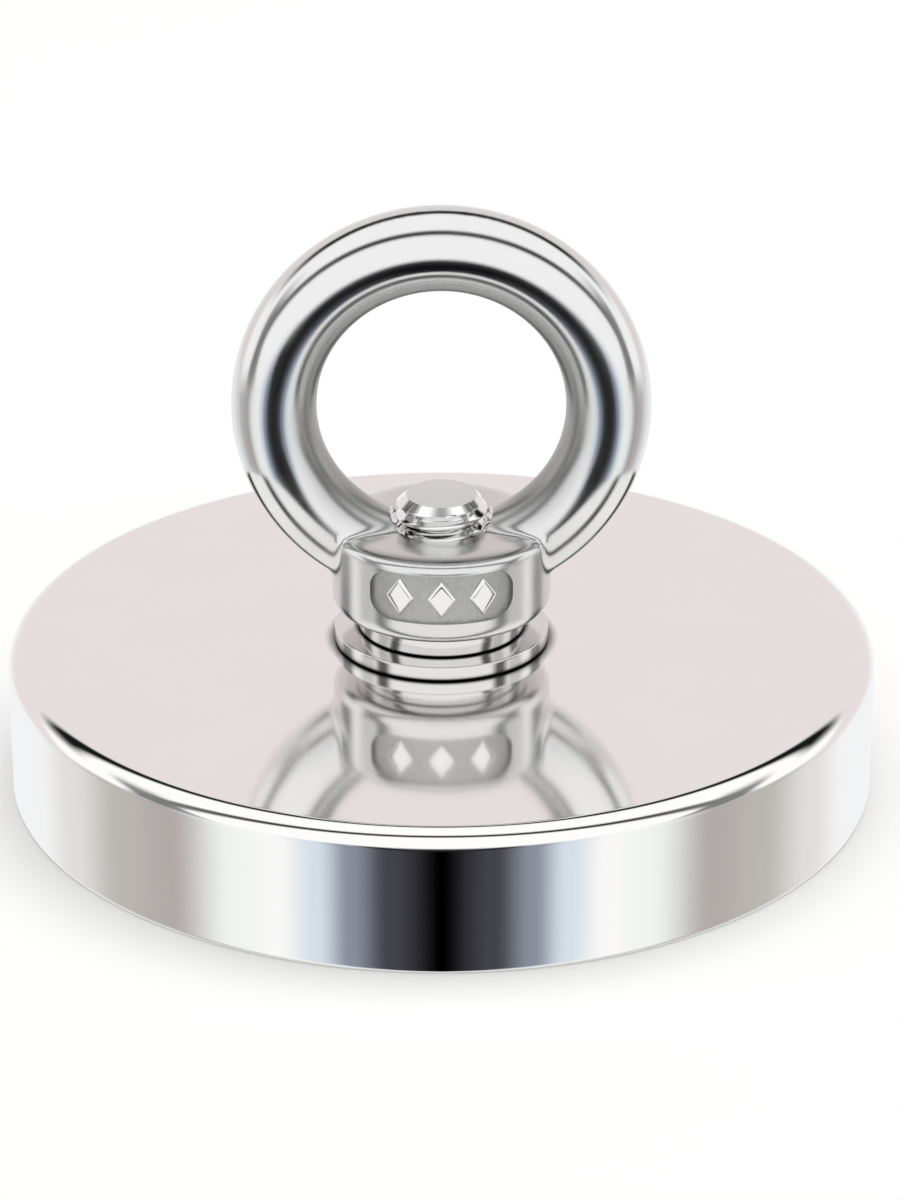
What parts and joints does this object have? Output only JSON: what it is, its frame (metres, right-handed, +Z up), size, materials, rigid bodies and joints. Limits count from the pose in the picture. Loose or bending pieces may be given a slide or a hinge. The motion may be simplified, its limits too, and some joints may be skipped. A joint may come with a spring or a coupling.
{
  "type": "magnet fishing magnet",
  "caption": "Round pot magnet with an eye nut on a countersunk bolt, for pulling steel out of water on a rope.",
  "frame": {"origin": "centre of the pot's open face, the face that grips", "axes": "+Z up along the bolt to the eye, X across the ring of the eye, -Y the side with the nut's panel"},
  "size_m": [0.094, 0.094, 0.0655],
  "materials": {
    "plated_steel": "bright nickel plate, polished",
    "plated_magnet": "nickel plate, satin",
    "resin": "black potting epoxy",
    "bush_brass": "turned",
    "bolt_steel": "bright stainless",
    "washer_steel": "polished stainless",
    "eye_steel": "satin polished stainless"
  },
  "bodies": {
    "pot": {"pot_shell": "plated_steel", "ring_magnet": "plated_magnet", "bond_film": "resin", "outer_resin_ring": "resin", "inner_resin_ring": "resin", "centre_bush": "bush_brass"},
    "bolt": {"countersunk_bolt": "bolt_steel"},
    "washers": {"flat_washer": "washer_steel", "spring_washer": "washer_steel"},
    "eye": {"eye_nut": "eye_steel"}
  },
  "joints": [
    {"name": "bolt_turn", "type": "hinge", "parent": "pot", "child": "bolt", "pos_m": [0, 0, 0], "axis": [0, 0, 1], "continuous": true},
    {"name": "eye_turn", "type": "hinge", "parent": "bolt", "child": "washers", "pos_m": [0, 0, 0], "axis": [0, 0, 1], "range_deg": [0, 2881]},
    {"name": "eye_lift", "type": "slide", "parent": "washers", "child": "eye", "axis": [0, 0, 1], "range_m": [0, 0.012]}
  ],
  "couplings": [
    {"joint": "eye_turn", "follows": "eye_lift", "rad_per_m": 4188.8}
  ]
}
